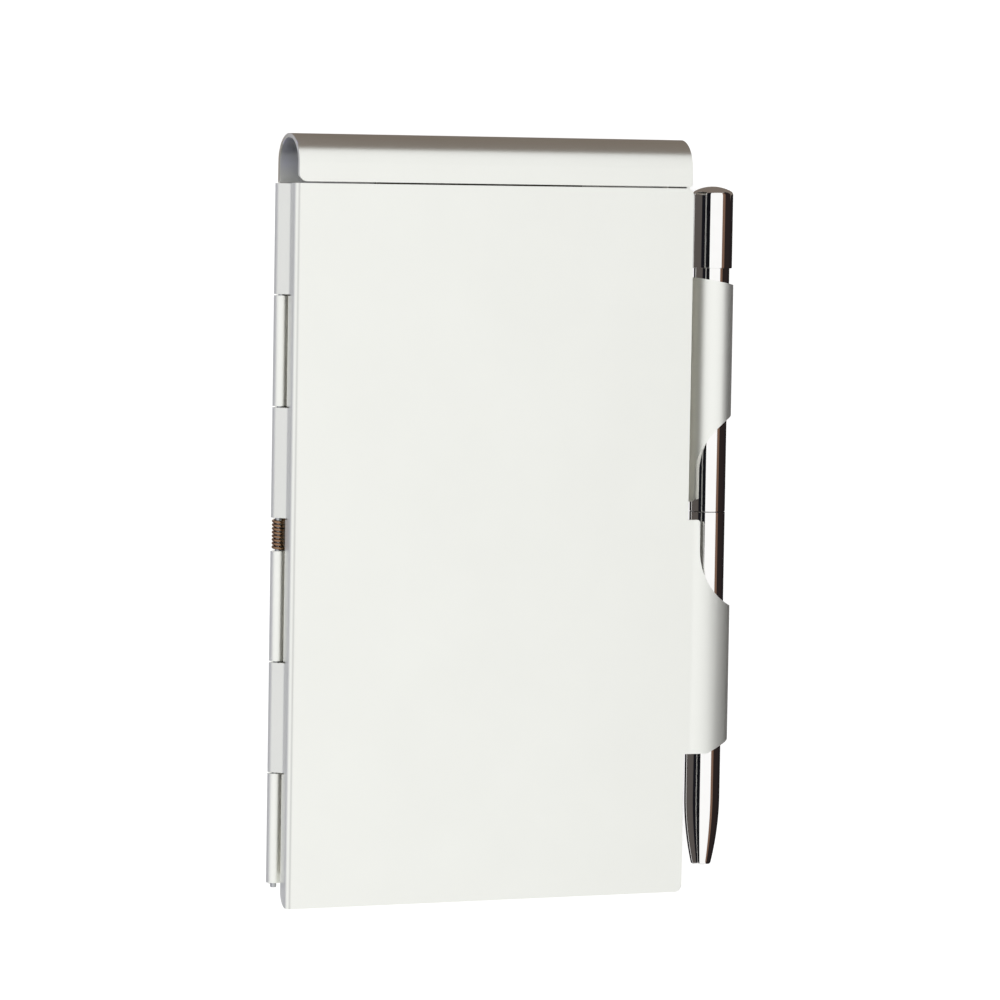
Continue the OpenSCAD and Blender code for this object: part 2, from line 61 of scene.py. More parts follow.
# Driving sizes, the same as the solids have
CASE_T = 10.0
COVER_H = 127.0
COVER_W = 77.0
SHEET_T = 0.7
HINGE_OUT = 0.48
PIN_R = 0.55
PEN_OUT = 6.0
PEN_DEPTH = 4.5
BARREL_R = 3.2
BARREL_WALL = 0.35
CAP_R = 3.65

pin_low, pin_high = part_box("hinge_pin")
CASE_X0 = (pin_low.x + pin_high.x) / 2 + HINGE_OUT * MM
CASE_Y0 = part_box("cover_shell")[0].y
HINGE_X = -HINGE_OUT
HINGE_Z = (pin_low.z + pin_high.z) / 2 / MM
PEN_X = COVER_W + PEN_OUT
PEN_Z = CASE_T - PEN_DEPTH


def place(points):
    """Case coordinates in millimetres to frame coordinates in metres."""
    return np.asarray(points, float) * MM + (CASE_X0, CASE_Y0, 0.0)


def span(node):
    """A node's lowest and highest corner in case coordinates."""
    low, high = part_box(node)
    start = (CASE_X0, CASE_Y0, 0)
    return (np.array(low) - start) / MM, (np.array(high) - start) / MM


def linked(name, data):
    """A new object of the scene that shows this mesh or camera."""
    made = bpy.data.objects.new(name, data)
    bpy.context.scene.collection.objects.link(made)
    return made


# Camera: the photograph's angle, from a least-squares fit to the case's straight edges.
# The angles are in radians, the distance and the target in case millimetres.
PHOTO_PX = 1000
FOCAL_PX = 5327.8
SENSOR_MM = 36.0
YAW, PITCH, ROLL = 0.421519, 0.063088, 0.01638
DISTANCE = 944.24
TARGET = (39.790, 71.413, CASE_T)
CLIP_M = (0.01, 20.0)


def add_camera():
    """Looks at the target from the left by YAW and from above by PITCH, then turns by ROLL."""
    sy, cy, sp, cp = math.sin(YAW), math.cos(YAW), math.sin(PITCH), math.cos(PITCH)
    back = np.array([-sy * cp, sp, cy * cp])
    right = np.array([cy, 0.0, sy])
    up = np.cross(back, right)
    turned_right = right * math.cos(ROLL) + up * math.sin(ROLL)
    turned_up = up * math.cos(ROLL) - right * math.sin(ROLL)
    data = bpy.data.cameras.new("camera")
    data.sensor_width = SENSOR_MM
    data.lens = FOCAL_PX / PHOTO_PX * SENSOR_MM
    data.clip_start, data.clip_end = CLIP_M
    camera = linked("camera", data)
    world = np.eye(4)
    world[:3, 0], world[:3, 1], world[:3, 2] = turned_right, turned_up, back
    world[:3, 3] = place(TARGET) + DISTANCE * MM * back
    camera.matrix_world = Matrix(world.tolist())
    bpy.context.scene.camera = camera


add_camera()


# Materials
def linear(hex_colour):
    """An sRGB hex colour as linear RGBA."""
    rgb = [int(hex_colour[i:i + 2], 16) / 255 for i in (1, 3, 5)]
    return [c / 12.92 if c <= 0.04045 else ((c + 0.055) / 1.055) ** 2.4 for c in rgb] + [1.0]


def add(tree, kind, inputs=None, **settings):
    """Adds a node, sets its properties, then sets or links its inputs."""
    made = tree.nodes.new(kind)
    for name, value in settings.items():
        setattr(made, name, value)
    for name, value in (inputs or {}).items():
        if isinstance(value, bpy.types.NodeSocket):
            tree.links.new(value, made.inputs[name])
        else:
            made.inputs[name].default_value = value
    return made


def grain_size(size_mm):
    """Scale of a noise texture whose spots are about this wide."""
    return 1 / (size_mm * MM)


def empty_material(name):
    """A material whose node tree is empty."""
    material = bpy.data.materials.new(name)
    material.use_nodes = True
    material.node_tree.nodes.clear()
    return material


def new_material(name):
    """A material with its main shader and output, and the place on the piece in metres."""
    material = empty_material(name)
    tree = material.node_tree
    shader = add(tree, "ShaderNodeBsdfPrincipled")
    add(tree, "ShaderNodeOutputMaterial", {"Surface": shader.outputs[0]})
    position = add(tree, "ShaderNodeTexCoord").outputs["Object"]
    return material, tree, shader, position


# A painted dark reflection, a darker line along the cover's left bend: its middle and half width
# across the bend, and the depth and height within which nothing but that bend lies
BEND_REFLECTION_X = 0.69
BEND_REFLECTION_HALF = 0.32
BEND_REFLECTION_LOW_Z = 9.4
BEND_REFLECTION_TOP_Y = COVER_H + 0.1


def painted_bend_reflection(tree, position):
    """1 in the middle of the painted dark reflection on the cover's left bend, falling to 0 at its
    sides.
    """
    x, top, low = place((BEND_REFLECTION_X, BEND_REFLECTION_TOP_Y, BEND_REFLECTION_LOW_Z)).tolist()
    at = add(tree, "ShaderNodeSeparateXYZ", {"Vector": position}).outputs
    off = add(tree, "ShaderNodeMath", {0: at["X"], 1: x}, operation="SUBTRACT")
    away = add(tree, "ShaderNodeMath", {0: off.outputs[0]}, operation="ABSOLUTE")
    line = add(tree, "ShaderNodeMapRange",
               {"Value": away.outputs[0], "From Max": BEND_REFLECTION_HALF * MM,
                "To Min": 1.0, "To Max": 0.0}, interpolation_type="SMOOTHSTEP")
    above = add(tree, "ShaderNodeMath", {0: at["Z"], 1: low}, operation="GREATER_THAN")
    below = add(tree, "ShaderNodeMath", {0: at["Y"], 1: top}, operation="LESS_THAN")
    there = add(tree, "ShaderNodeMath", {0: above.outputs[0], 1: below.outputs[0]},
                operation="MULTIPLY")
    return add(tree, "ShaderNodeMath", {0: line.outputs[0], 1: there.outputs[0]},
               operation="MULTIPLY").outputs[0]


def satin_anodised_aluminium():
    """Rolled aluminium sheet, finely brushed along its length, blasted and anodised clear.

    A pale metal whose grain runs up the case, so reflections spread far sideways and less up and
    down. A painted dark reflection makes a line along the cover's left bend a little darker.
    """
    material, tree, shader, position = new_material("satin_anodised_aluminium")
    grain = add(tree, "ShaderNodeTexNoise",
                {"Vector": position, "Scale": grain_size(0.22), "Detail": 2.0})
    patches = add(tree, "ShaderNodeTexNoise",
                  {"Vector": position, "Scale": grain_size(14), "Detail": 3.0})
    shade = add(tree, "ShaderNodeMix",
                {"Factor": patches.outputs[0], "A": linear("#f5f6f1"), "B": linear("#f9faf5")},
                data_type="RGBA")
    # Painted dark reflection: the base colour is darker along the cover's left bend
    shade = add(tree, "ShaderNodeMix",
                {"Factor": painted_bend_reflection(tree, position), "A": shade.outputs["Result"],
                 "B": linear("#d6d6d3")}, data_type="RGBA")
    rough = add(tree, "ShaderNodeMapRange",
                {"Value": grain.outputs[0], "To Min": 0.35, "To Max": 0.43})
    bump = add(tree, "ShaderNodeBump",
               {"Height": grain.outputs[0], "Strength": 0.10, "Distance": 0.04 * MM})
    grain_way = add(tree, "ShaderNodeCombineXYZ", {"X": 0.02, "Y": 1.0, "Z": 0.03})
    shader.inputs["Metallic"].default_value = 1.0
    shader.inputs["Anisotropic"].default_value = 0.72
    shader.inputs["Anisotropic Rotation"].default_value = 0.25
    tree.links.new(grain_way.outputs[0], shader.inputs["Tangent"])
    tree.links.new(shade.outputs["Result"], shader.inputs["Base Color"])
    tree.links.new(rough.outputs[0], shader.inputs["Roughness"])
    tree.links.new(bump.outputs[0], shader.inputs["Normal"])
    return material


def bright_chrome():
    """Brass tube plated with nickel and chrome and polished.

    A full mirror with the faintest ripple of the tube.
    """
    material, tree, shader, position = new_material("bright_chrome")
    ripple = add(tree, "ShaderNodeTexNoise",
                 {"Vector": position, "Scale": grain_size(3.0), "Detail": 2.0})
    tint = add(tree, "ShaderNodeMix",
               {"Factor": ripple.outputs[0], "A": linear("#f8f7f5"), "B": linear("#fdfcfb")},
               data_type="RGBA")
    bump = add(tree, "ShaderNodeBump",
               {"Height": ripple.outputs[0], "Strength": 0.12, "Distance": 0.02 * MM})
    shader.inputs["Metallic"].default_value = 1.0
    shader.inputs["Roughness"].default_value = 0.0
    tree.links.new(tint.outputs["Result"], shader.inputs["Base Color"])
    tree.links.new(bump.outputs[0], shader.inputs["Normal"])
    return material


def drawn_metal(name, colour, roughness):
    """Wire, strip or tube drawn through a die, or a turned bar.

    Metallic, with hair lines along it that blur reflections a little.
    """
    material, tree, shader, position = new_material(name)
    stretched = add(tree, "ShaderNodeMapping", {"Vector": position, "Scale": (1.0, 0.05, 1.0)})
    lines = add(tree, "ShaderNodeTexNoise",
                {"Vector": stretched.outputs[0], "Scale": grain_size(0.15)})
    rough = add(tree, "ShaderNodeMapRange",
                {"Value": lines.outputs[0], "To Min": roughness - 0.06, "To Max": roughness + 0.08})
    bump = add(tree, "ShaderNodeBump",
               {"Height": lines.outputs[0], "Strength": 0.15, "Distance": 0.03 * MM})
    shader.inputs["Metallic"].default_value = 1.0
    shader.inputs["Base Color"].default_value = linear(colour)
    tree.links.new(rough.outputs[0], shader.inputs["Roughness"])
    tree.links.new(bump.outputs[0], shader.inputs["Normal"])
    return material


def writing_paper():
    """Uncoated wood-free paper: matt, nearly white, with a cloudy fibre structure."""
    material, tree, shader, position = new_material("writing_paper")
    clouds = add(tree, "ShaderNodeTexNoise",
                 {"Vector": position, "Scale": grain_size(1.2), "Detail": 5.0})
    fibres = add(tree, "ShaderNodeTexNoise",
                 {"Vector": position, "Scale": grain_size(0.15), "Detail": 4.0})
    shade = add(tree, "ShaderNodeMix",
                {"Factor": clouds.outputs[0], "A": linear("#efece4"), "B": linear("#f7f5ee")},
                data_type="RGBA")
    bump = add(tree, "ShaderNodeBump",
               {"Height": fibres.outputs[0], "Strength": 0.25, "Distance": 0.03 * MM})
    shader.inputs["Roughness"].default_value = 0.85
    shader.inputs["Specular IOR Level"].default_value = 0.25
    tree.links.new(shade.outputs["Result"], shader.inputs["Base Color"])
    tree.links.new(bump.outputs[0], shader.inputs["Normal"])
    return material


def grey_board():
    """Recycled grey board: matt, with flecks and fibres in the pulp."""
    material, tree, shader, position = new_material("grey_board")
    flecks = add(tree, "ShaderNodeTexNoise",
                 {"Vector": position, "Scale": grain_size(0.5), "Detail": 6.0})
    spread = add(tree, "ShaderNodeMapRange",
                 {"Value": flecks.outputs[0], "To Min": -0.6, "To Max": 1.6})
    shade = add(tree, "ShaderNodeMix",
                {"Factor": spread.outputs[0], "A": linear("#8d8474"), "B": linear("#b5ab98")},
                data_type="RGBA")
    bump = add(tree, "ShaderNodeBump",
               {"Height": flecks.outputs[0], "Strength": 0.3, "Distance": 0.05 * MM})
    shader.inputs["Roughness"].default_value = 0.9
    shader.inputs["Specular IOR Level"].default_value = 0.2
    tree.links.new(shade.outputs["Result"], shader.inputs["Base Color"])
    tree.links.new(bump.outputs[0], shader.inputs["Normal"])
    return material


THREAD_MM = 0.5
# A wave texture of scale 1 has 20 / tau waves a metre, and a thread and its gap make one wave
WAVES_PER_M = 20 / math.tau


def bookbinding_cloth():
    """Woven cotton tape, dyed dark: crossing threads that catch a dull sheen."""
    material, tree, shader, position = new_material("bookbinding_cloth")
    scale = 1 / (WAVES_PER_M * 2 * THREAD_MM * MM)
    warp = add(tree, "ShaderNodeTexWave", {"Vector": position, "Scale": scale},
               bands_direction="X")
    weft = add(tree, "ShaderNodeTexWave", {"Vector": position, "Scale": scale},
               bands_direction="Y")
    weave = add(tree, "ShaderNodeMath", {0: warp.outputs["Fac"], 1: weft.outputs["Fac"]},
                operation="MAXIMUM")
    shade = add(tree, "ShaderNodeMix",
                {"Factor": weave.outputs[0], "A": linear("#15171b"), "B": linear("#33363c")},
                data_type="RGBA")
    bump = add(tree, "ShaderNodeBump",
               {"Height": weave.outputs[0], "Strength": 0.5, "Distance": 0.06 * MM})
    shader.inputs["Roughness"].default_value = 0.8
    shader.inputs["Sheen Weight"].default_value = 0.2
    tree.links.new(shade.outputs["Result"], shader.inputs["Base Color"])
    tree.links.new(bump.outputs[0], shader.inputs["Normal"])
    return material


def moulded_acetal():
    """Injection moulded acetal: dull black with the mould's fine spark texture."""
    material, tree, shader, position = new_material("moulded_acetal")
    spark = add(tree, "ShaderNodeTexNoise",
                {"Vector": position, "Scale": grain_size(0.2), "Detail": 2.0})
    rough = add(tree, "ShaderNodeMapRange",
                {"Value": spark.outputs[0], "To Min": 0.40, "To Max": 0.55})
    bump = add(tree, "ShaderNodeBump",
               {"Height": spark.outputs[0], "Strength": 0.2, "Distance": 0.03 * MM})
    shader.inputs["Base Color"].default_value = linear("#26272a")
    tree.links.new(rough.outputs[0], shader.inputs["Roughness"])
    tree.links.new(bump.outputs[0], shader.inputs["Normal"])
    return material


ALUMINIUM = satin_anodised_aluminium()
CHROME = bright_chrome()
# Bare drawn wire, light grey
PIN_STEEL = drawn_metal("drawn_steel_wire", "#b9bbbd", 0.28)
# Rolled strip, tempered and so a little darker
CLIP_STEEL = drawn_metal("spring_steel_strip", "#9a9da0", 0.34)
# Wire with a thin bronze coat, brown and glossy
SPRING_BRONZE = drawn_metal("bronzed_spring_wire", "#97785f", 0.14)
# Plain brass, yellow
BRASS = drawn_metal("turned_brass", "#cfa866", 0.25)
# Nickel on brass, duller than the chrome beside it, with the shade of the pen's joint painted into
# its darker grey
NICKEL_WITH_PAINTED_SHADE = drawn_metal("nickelled_sleeve_painted_shade", "#77767a", 0.35)
PAPER = writing_paper()
BOARD = grey_board()
CLOTH = bookbinding_cloth()
ACETAL = moulded_acetal()


# Shapes
SHARP_DEG = 35
# Points closer than this are one, in metres: in new pieces and in the solids' meshes
MERGE_M = 1e-7
SOLID_MERGE_M = 2e-7


def finish_piece(piece, body, material, node):
    """Gives a piece its material and body, and hides the node that it stands for."""
    piece.data.materials.clear()
    piece.data.materials.append(material)
    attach(piece, body)
    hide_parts(node)


def shade_smooth(mesh_edit):
    """Smooth shading all over, but for the edges that turn by SHARP_DEG or more."""
    for edge in mesh_edit.edges:
        edge.smooth = (len(edge.link_faces) < 2
                       or edge.calc_face_angle() < math.radians(SHARP_DEG))
    for face in mesh_edit.faces:
        face.smooth = True


def object_of(name, points, faces):
    """A mesh object at the origin from case coordinates, merged, with its faces outwards."""
    mesh = bpy.data.meshes.new(name)
    mesh.from_pydata(place(points).tolist(), [], faces)
    edit = bmesh.new()
    edit.from_mesh(mesh)
    bmesh.ops.remove_doubles(edit, verts=edit.verts, dist=MERGE_M)
    bmesh.ops.recalc_face_normals(edit, faces=edit.faces)
    shade_smooth(edit)
    edit.to_mesh(mesh)
    edit.free()
    return linked(name, mesh)


def wrapped_faces(rows, columns, close_rows, close_columns):
    """Quads between neighbouring points of a grid, which may wrap round either way."""
    i, j = np.meshgrid(np.arange(rows - (not close_rows)),
                       np.arange(columns - (not close_columns)), indexing="ij")
    i, j = i.ravel(), j.ravel()
    a, b = (i + 1) % rows, (j + 1) % columns
    return np.stack([i * columns + j, a * columns + j, a * columns + b, i * columns + b],
                    1).tolist()


def end_faces(rows, columns):
    """The two faces that close a grid's first and last row."""
    last = (rows - 1) * columns
    return [list(range(columns))[::-1], list(range(last, last + columns))]


def arc(centre, radius, start, stop, steps):
    """Points of an arc about a centre, angles in degrees."""
    angle = np.radians(np.linspace(start, stop, steps + 1))
    return np.stack([centre[0] + radius * np.cos(angle), centre[1] + radius * np.sin(angle)], 1)


# An eased corner takes at most this share of either of its sides, so that two never meet
EASED_SHARE = 0.45


def eased(corners, radius, steps=3):
    """A closed outline whose corners give way to arcs that touch both their sides."""
    corners = np.asarray(corners, float)
    out = []
    for k, corner in enumerate(corners):
        before, after = corners[k - 1] - corner, corners[(k + 1) % len(corners)] - corner
        u, v = before / np.linalg.norm(before), after / np.linalg.norm(after)
        half = math.acos(np.clip(u @ v, -1, 1)) / 2
        reach = min(radius / math.tan(half),
                    EASED_SHARE * min(np.linalg.norm(before), np.linalg.norm(after)))
        r = reach * math.tan(half)
        middle = corner + (u + v) / np.linalg.norm(u + v) * r / math.sin(half)
        a0 = math.atan2(*(corner + u * reach - middle)[::-1])
        a1 = math.atan2(*(corner + v * reach - middle)[::-1])
        turn = (a1 - a0 + math.pi) % math.tau - math.pi
        angles = a0 + turn * np.linspace(0, 1, steps + 1)
        out.append(np.stack([middle[0] + r * np.cos(angles), middle[1] + r * np.sin(angles)], 1))
    return np.concatenate(out)


PEN_SIDES = 128


def turned(name, outline, axis=(PEN_X, PEN_Z), sides=PEN_SIDES):
    """A closed outline of (radius, height) turned about an axis along Y.

    x = r cos a, y = height, z = r sin a.
    """
    outline = np.asarray(outline, float)
    angle = np.arange(sides) * math.tau / sides
    radius, height = np.maximum(outline[:, 0], 0), outline[:, 1]
    x = axis[0] + radius[None] * np.cos(angle)[:, None]
    z = axis[1] + radius[None] * np.sin(angle)[:, None]
    points = np.stack([x, np.broadcast_to(height, x.shape), z], 2).reshape(-1, 3)
    return object_of(name, points, wrapped_faces(sides, len(outline), True, True))


# Sheet parts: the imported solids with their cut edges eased, as tumbling and anodising leave them
EDGE_EASE = 0.09
# A flat face gets a rim, which takes the shading of its round edges, if its area is more than
# FLAT_HALF_WIDTH times its perimeter, as a long strip's is when it is more than twice that wide
FLAT_HALF_WIDTH = 1.0
RIM = 0.16
# Faces of the solid's mesh that turn by less than this are one flat face
FLAT_DEG = 0.3
# The most that the modifier takes, so that the shading follows the large faces
FACE_WEIGHT = 100


def deburred(node, name):
    """A copy of a node with doubles merged, flat faces joined and edges eased by a bevel."""
    mesh = NODES[node].data.copy()
    mesh.name = name
    edit = bmesh.new()
    edit.from_mesh(mesh)
    bmesh.ops.remove_doubles(edit, verts=edit.verts, dist=SOLID_MERGE_M)
    bmesh.ops.dissolve_limit(edit, angle_limit=math.radians(FLAT_DEG), verts=edit.verts,
                             edges=edit.edges)
    flats = [face for face in edit.faces
             if face.calc_area() > FLAT_HALF_WIDTH * MM * face.calc_perimeter()]
    bmesh.ops.inset_individual(edit, faces=flats, thickness=RIM * MM, use_even_offset=False)
    shade_smooth(edit)
    edit.to_mesh(mesh)
    edit.free()
    if "custom_normal" in mesh.attributes:
        mesh.attributes.remove(mesh.attributes["custom_normal"])
    piece = linked(name, mesh)
    ease = piece.modifiers.new("ease", "BEVEL")
    ease.width = EDGE_EASE * MM
    ease.segments = 2
    ease.limit_method = "ANGLE"
    ease.angle_limit = math.radians(SHARP_DEG)
    ease.miter_outer = "MITER_ARC"
    level = piece.modifiers.new("level", "WEIGHTED_NORMAL")
    level.mode = "FACE_AREA"
    level.weight = FACE_WEIGHT
    return piece


finish_piece(deburred("base_shell", "back_sheet"), "case", ALUMINIUM,
             "base_shell")
finish_piece(deburred("cover_shell", "cover_sheet"), "cover", ALUMINIUM,
             "cover_shell")


# Hinge pin: drawn wire whose ends are turned round at the corners
PIN_END_R = 0.18
PIN_SIDES = 48


def hinge_pin():
    """A turned rod whose end corners are rounded."""
    low, high = span("hinge_pin")
    outline = eased([(0, low[1]), (PIN_R, low[1]), (PIN_R, high[1]), (0, high[1])],
                    PIN_END_R, 4)
    pin = turned("hinge_wire", outline, (HINGE_X, HINGE_Z), PIN_SIDES)
    finish_piece(pin, "case", PIN_STEEL, "hinge_pin")


hinge_pin()


# Hinge spring: a close coil round the pin, whose ends lie along the walls of the two halves.
# SPRING_SPARE is how far the coil is longer than its solid at each end.
WIRE_R = 0.27
COIL_R = 0.88
TURNS = 7.5
SPRING_SPARE = 0.17
LEG_BEND_R = 0.45
LEG_REACH = 3.7
LEG_X = 1.12
RING_SIDES = 12
STEPS_PER_TURN = 40
BEND_STEPS = 8


def leg(y, side):
    """A straight run off the coil, a quarter bend and a run along the wall."""
    bend = np.radians(np.linspace(0, 90, BEND_STEPS + 1))
    x = LEG_X - LEG_BEND_R + LEG_BEND_R * np.sin(bend)
    z = HINGE_Z + side * (COIL_R + LEG_BEND_R - LEG_BEND_R * np.cos(bend))
    corner = np.stack([x, np.full_like(x, y), z], 1)
    return np.concatenate([corner, [[LEG_X, y, HINGE_Z + side * LEG_REACH]]])


def hinge_spring():
    """A tube along a helix: the angle grows from 90 degrees while y climbs evenly.

    The helix goes over into a leg at each end.
    """
    low, high = span("hinge_spring")
    y0, y1 = low[1] + WIRE_R - SPRING_SPARE, high[1] - WIRE_R + SPRING_SPARE
    part = np.linspace(0, 1, int(TURNS * STEPS_PER_TURN) + 1)
    angle = math.pi / 2 + math.tau * TURNS * part
    coil = np.stack([HINGE_X + COIL_R * np.cos(angle), y0 + (y1 - y0) * part,
                     HINGE_Z + COIL_R * np.sin(angle)], 1)
    path = np.concatenate([leg(y0, 1)[::-1], coil, leg(y1, -1)])
    along = np.gradient(path, axis=0)
    along /= np.linalg.norm(along, axis=1)[:, None]
    across = np.cross(np.tile([0.0, 1.0, 0.0], (len(path), 1)), along)
    across /= np.linalg.norm(across, axis=1)[:, None]
    third = np.cross(along, across)
    turn = np.arange(RING_SIDES) * math.tau / RING_SIDES
    ring = (across[:, None] * np.cos(turn)[None, :, None]
            + third[:, None] * np.sin(turn)[None, :, None])
    points = (path[:, None] + WIRE_R * ring).reshape(-1, 3)
    faces = wrapped_faces(len(path), RING_SIDES, False, True) + end_faces(len(path), RING_SIDES)
    spring = object_of("hinge_coil", points, faces)
    spring.data.materials.append(SPRING_BRONZE)
    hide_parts("hinge_spring")
    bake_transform(spring)


hinge_spring()


# Pen: every part is turned, with its edges eased
TUBE_EASE = 0.06


def pen_cap():
    """A straight skirt, a round shoulder tangent to it and a low dome tangent to the shoulder."""
    low, high = span("pen_cap")
    shoulder_r, dome_r, cap_end = 0.8, 7.0, 2.4
    fit, bore_ease, rim_ease = 0.04, 0.08, 0.12
    dome_y = high[1] - dome_r
    shoulder_x = CAP_R - shoulder_r
    shoulder_y = dome_y + math.sqrt((dome_r - shoulder_r) ** 2 - shoulder_x ** 2)
    meet = math.degrees(math.atan2(shoulder_y - dome_y, shoulder_x))
    bore = BARREL_R + fit
    outline = np.concatenate([
        [(0, high[1] - cap_end)],
        [(bore, high[1] - cap_end)],
        arc((bore + bore_ease, low[1] + bore_ease), bore_ease, 180, 270, 3),
        arc((CAP_R - rim_ease, low[1] + rim_ease), rim_ease, 270, 360, 4),
        arc((shoulder_x, shoulder_y), shoulder_r, 0, meet, 10),
        arc((0, dome_y), dome_r, meet, 90, 16)[1:]])
    finish_piece(turned("cap", outline), "pen_top", CHROME, "pen_cap")


def pen_upper_barrel():
    """A tube whose four rims are rounded."""
    low, high = span("pen_upper_barrel")
    r_in = BARREL_R - BARREL_WALL
    outline = eased([(r_in, low[1]), (BARREL_R, low[1]), (BARREL_R, high[1]), (r_in, high[1])],
                    TUBE_EASE)
    finish_piece(turned("upper_tube", outline), "pen_top", CHROME, "pen_upper_barrel")


def pen_lower_barrel():
    """A straight tube, then an arc that leaves it straight and falls to the nose's flat end.

    The arc stops a little short of the end, and a small round goes over into the flat.
    """
    low, high = span("pen_lower_barrel")
    nose_l, end_r, hole_r, bore_r = 12.6, 1.75, 1.1, 1.6
    hole_l, taper_l = 2.0, 2.5
    end_round, end_inset, hole_ease, arc_share = 0.17, 0.16, 0.1, 0.985
    r_in = BARREL_R - BARREL_WALL
    nose_high = low[1] + nose_l
    fall = BARREL_R - end_r
    ogive_r = (nose_l ** 2 + fall ** 2) / (2 * fall)
    drop = math.degrees(math.asin(nose_l / ogive_r))
    outline = np.concatenate([
        [(r_in, nose_high), (r_in, high[1])],
        arc((BARREL_R - TUBE_EASE, high[1] - TUBE_EASE), TUBE_EASE, 90, 0, 3),
        arc((BARREL_R - ogive_r, nose_high), ogive_r, 0, -drop * arc_share, 40),
        arc((end_r - end_inset, low[1] + end_round), end_round, -20, -90, 4),
        arc((hole_r + hole_ease, low[1] + hole_ease), hole_ease, 270, 180, 3),
        [(hole_r, low[1] + hole_l), (bore_r, low[1] + hole_l + taper_l), (bore_r, nose_high)]])
    finish_piece(turned("lower_tube", outline), "pen_body", CHROME, "pen_lower_barrel")


pen_cap()
pen_upper_barrel()
pen_lower_barrel()


# Pad: a block of leaves whose cut edges stand a hair in or out of each other. The leaves are
# thicker than real ones.
LEAF_T = 0.2
LEAF_SHIFT = 0.05
BLOCK_CORNER_R = 0.35
# Up a leaf's edge: the share of its height, and how far the edge is drawn in there
LEAF_EDGE = ((0.0, 0.06), (0.3, 0.0), (0.7, 0.0), (1.0, 0.06))


def pad_leaves():
    """Layers of one rounded outline, each drawn in on its sides, with a groove between two.

    Layer k is drawn in by LEAF_SHIFT times the sum of a half, a quarter of the sine of 12.9 k + 2
    and a quarter of the sine of 2.3 k, across X, or of 3.7 k + 1, across Y.
    """
    low, high = span("pad_paper")
    layers = int(round((high[2] - low[2]) / LEAF_T))
    corners = eased([(low[0], low[1]), (high[0], low[1]), (high[0], high[1]), (low[0], high[1])],
                    BLOCK_CORNER_R, 3)
    side = np.where(corners > (low[:2] + high[:2]) / 2, -1.0, 1.0)
    k = np.arange(layers)
    shift = LEAF_SHIFT * (0.5 + 0.25 * np.sin(2.3 * k)[:, None] * [1, 0]
                          + 0.25 * np.sin(3.7 * k + 1)[:, None] * [0, 1]
                          + 0.25 * np.sin(12.9 * k + 2)[:, None])
    height = low[2] + (high[2] - low[2]) * k / layers
    step = (high[2] - low[2]) / layers
    rings = []
    for part, inward in LEAF_EDGE:
        outline = corners[None] + side[None] * (shift + inward)[:, None]
        level = np.broadcast_to((height + part * step)[:, None, None], outline.shape[:2] + (1,))
        rings.append(np.concatenate([outline, level], 2))
    points = np.stack(rings, 1).reshape(-1, 3)
    rows, columns = len(LEAF_EDGE) * layers, len(corners)
    faces = wrapped_faces(rows, columns, False, True) + end_faces(rows, columns)
    finish_piece(object_of("pad_leaves", points, faces), "pad", PAPER, "pad_paper")


pad_leaves()

# The nodes that keep their own shape
for name, material in (("pen_cap_bush", ACETAL), ("pen_cam_sleeve", ACETAL),
                       ("pen_cam_plunger", ACETAL), ("pen_joint_sleeve", NICKEL_WITH_PAINTED_SHADE),
                       ("pen_refill_tube", ACETAL), ("pen_refill_tip", BRASS),
                       ("pad_clip", CLIP_STEEL), ("pad_card", BOARD), ("pad_binding", CLOTH)):
    NODES[name].data.materials.clear()
    NODES[name].data.materials.append(material)


# Studio: a white ground and background, a broad bright front, and cards that only reflections see
def rectangle(low, high):
    """The four corners between two opposite ones, which share the height, width or depth."""
    low, high = np.array(low, float), np.array(high, float)
    first, second = np.flatnonzero(low != high)
    corners = np.tile(low, (4, 1))
    corners[1:3, first] = high[first]
    corners[2:, second] = high[second]
    return corners


def board(name, low, high, material):
    """A flat rectangle of the studio."""
    mesh = bpy.data.meshes.new(name)
    mesh.from_pydata(place(rectangle(low, high)).tolist(), [], [(0, 1, 2, 3)])
    mesh.materials.append(material)
    piece = linked(name, mesh)
    return piece


def background_rays(tree):
    """1 for the rays that show the background: from the camera, mirrored or let through."""
    path = add(tree, "ShaderNodeLightPath").outputs
    seen = add(tree, "ShaderNodeMath", {0: path["Is Camera Ray"], 1: path["Is Glossy Ray"]},
               operation="MAXIMUM")
    seen = add(tree, "ShaderNodeMath", {0: seen.outputs[0], 1: path["Is Transmission Ray"]},
               operation="MAXIMUM")
    return seen.outputs[0]


GROUND_Z = -0.2
GROUND_HALF = 4000
# Its own glow, which with what the light adds comes out as white
GROUND_GLOW = 0.84


def white_ground():
    """A pale floor that the background rays see as white, less the object's soft shadow."""
    material = empty_material("white_paper_sweep")
    tree = material.node_tree
    lit = add(tree, "ShaderNodeBsdfDiffuse", {"Color": linear("#e4e4e4")})
    shaded = add(tree, "ShaderNodeBsdfDiffuse", {"Color": linear("#9a9a9a")})
    glow = add(tree, "ShaderNodeEmission", {"Color": linear("#ffffff"), "Strength": GROUND_GLOW})
    bright = add(tree, "ShaderNodeAddShader", {0: shaded.outputs[0], 1: glow.outputs[0]})
    mixed = add(tree, "ShaderNodeMixShader",
                {0: background_rays(tree), 1: lit.outputs[0], 2: bright.outputs[0]})
    add(tree, "ShaderNodeOutputMaterial", {"Surface": mixed.outputs[0]})
    board("ground", (-GROUND_HALF, -GROUND_HALF, GROUND_Z), (GROUND_HALF, GROUND_HALF, GROUND_Z),
          material)


